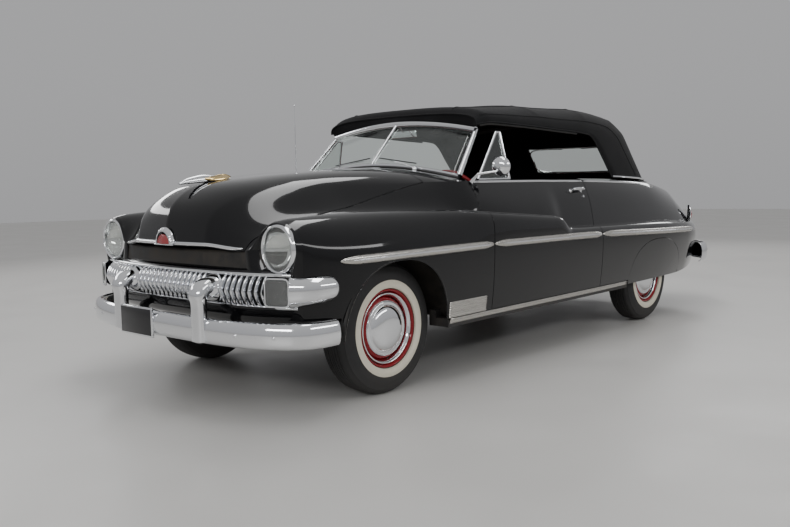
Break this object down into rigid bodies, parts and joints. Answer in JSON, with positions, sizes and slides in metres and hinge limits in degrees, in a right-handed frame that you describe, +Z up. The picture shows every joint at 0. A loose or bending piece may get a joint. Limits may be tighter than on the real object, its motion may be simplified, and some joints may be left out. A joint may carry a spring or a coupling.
{
  "type": "two-door convertible car, early 1950s",
  "caption": "Full-size two-door convertible with the soft top up, opening doors, hood and trunk lid, steered front wheels and turning road wheels.",
  "frame": {"origin": "centre of the car's box, on the ground", "axes": "+Z up, -Y towards the front, +X towards the car's left side"},
  "size_m": [1.9396, 5.273, 1.67],
  "materials": {
    "body_paint": "deep gloss black enamel",
    "chrome": "polished chrome plate",
    "stainless": "satin stainless moulding",
    "frame_steel": "satin black chassis paint",
    "glass": "clear flat glass",
    "canvas": "black twill canvas",
    "seat_leather": "dark red leather",
    "dash_trim": "dark red enamel",
    "wheel_paint": "gloss deep red enamel",
    "tyre_rubber": "black rubber with cream whitewall"
  },
  "bodies": {
    "body": {"frame_rails": "frame_steel", "rear_frame_rails": "frame_steel", "frame_crossmembers": "frame_steel", "floor_pan": "frame_steel", "firewall": "body_paint", "cowl": "body_paint", "windshield_frame": "chrome", "windshield_glass": "glass", "front_fender_left": "body_paint", "front_fender_right": "body_paint", "rear_quarter_left": "body_paint", "rear_quarter_right": "body_paint", "fender_skirts": "body_paint", "rocker_panels": "stainless", "rear_deck": "body_paint", "rear_valance": "body_paint", "radiator": "frame_steel", "grille": "chrome", "front_bumper": "chrome", "rear_bumper": "chrome", "headlamps": "chrome", "tail_lamps": "chrome", "soft_top": "canvas", "top_bows": "frame_steel", "front_seat": "seat_leather", "rear_seat": "seat_leather", "dashboard": "dash_trim", "engine_block": "frame_steel", "rear_axle": "frame_steel", "front_suspension": "frame_steel", "exhaust": "frame_steel", "fuel_tank": "frame_steel", "antenna": "chrome", "hinge_pillars": "body_paint", "hood_hinges": "frame_steel", "trunk_hinges": "frame_steel"},
    "hood": {"hood": "body_paint"},
    "trunk_lid": {"trunk_lid": "body_paint"},
    "door_left": {"door_left": "body_paint", "vent_window_left": "chrome"},
    "door_right": {"door_right": "body_paint", "vent_window_right": "chrome"},
    "knuckle_left": {"knuckle_left": "frame_steel"},
    "knuckle_right": {"knuckle_right": "frame_steel"},
    "steering_wheel": {"steering_wheel": "dash_trim"},
    "wheel_front_left": {"wheel_front_left": "wheel_paint", "tyre_front_left": "tyre_rubber"},
    "wheel_front_right": {"wheel_front_right": "wheel_paint", "tyre_front_right": "tyre_rubber"},
    "wheel_rear_left": {"wheel_rear_left": "wheel_paint", "tyre_rear_left": "tyre_rubber"},
    "wheel_rear_right": {"wheel_rear_right": "wheel_paint", "tyre_rear_right": "tyre_rubber"}
  },
  "joints": [
    {"name": "hood_hinge", "type": "hinge", "parent": "body", "child": "hood", "pos_m": [0, -1.215, 1.185], "axis": [-1, 0, 0], "range_deg": [0, 50]},
    {"name": "trunk_hinge", "type": "hinge", "parent": "body", "child": "trunk_lid", "pos_m": [0, 1.815, 1.08], "axis": [1, 0, 0], "range_deg": [0, 65]},
    {"name": "door_left_hinge", "type": "hinge", "parent": "body", "child": "door_left", "pos_m": [0.972, -0.98, 0.7], "axis": [0, 0, -1], "range_deg": [0, 65]},
    {"name": "door_right_hinge", "type": "hinge", "parent": "body", "child": "door_right", "pos_m": [-0.972, -0.98, 0.7], "axis": [0, 0, 1], "range_deg": [0, 65]},
    {"name": "steer_left", "type": "hinge", "parent": "body", "child": "knuckle_left", "pos_m": [0.625, -1.75, 0.35], "axis": [0, 0, 1], "range_deg": [-30, 30]},
    {"name": "steer_right", "type": "hinge", "parent": "body", "child": "knuckle_right", "pos_m": [-0.625, -1.75, 0.35], "axis": [0, 0, 1], "range_deg": [-30, 30]},
    {"name": "steering_wheel_turn", "type": "hinge", "parent": "body", "child": "steering_wheel", "pos_m": [0.368, -0.56, 1], "axis": [0, 0.848, 0.5299], "range_deg": [-450, 450]},
    {"name": "spin_front_left", "type": "hinge", "parent": "knuckle_left", "child": "wheel_front_left", "pos_m": [0.743, -1.75, 0.35], "axis": [1, 0, 0], "continuous": true},
    {"name": "spin_front_right", "type": "hinge", "parent": "knuckle_right", "child": "wheel_front_right", "pos_m": [-0.743, -1.75, 0.35], "axis": [1, 0, 0], "continuous": true},
    {"name": "spin_rear_left", "type": "hinge", "parent": "body", "child": "wheel_rear_left", "pos_m": [0.762, 1.247, 0.35], "axis": [1, 0, 0], "continuous": true},
    {"name": "spin_rear_right", "type": "hinge", "parent": "body", "child": "wheel_rear_right", "pos_m": [-0.762, 1.247, 0.35], "axis": [1, 0, 0], "continuous": true}
  ],
  "couplings": [
    {"joint": "steer_right", "follows": "steer_left", "ratio": 1},
    {"joint": "steering_wheel_turn", "follows": "steer_left", "ratio": 15}
  ]
}
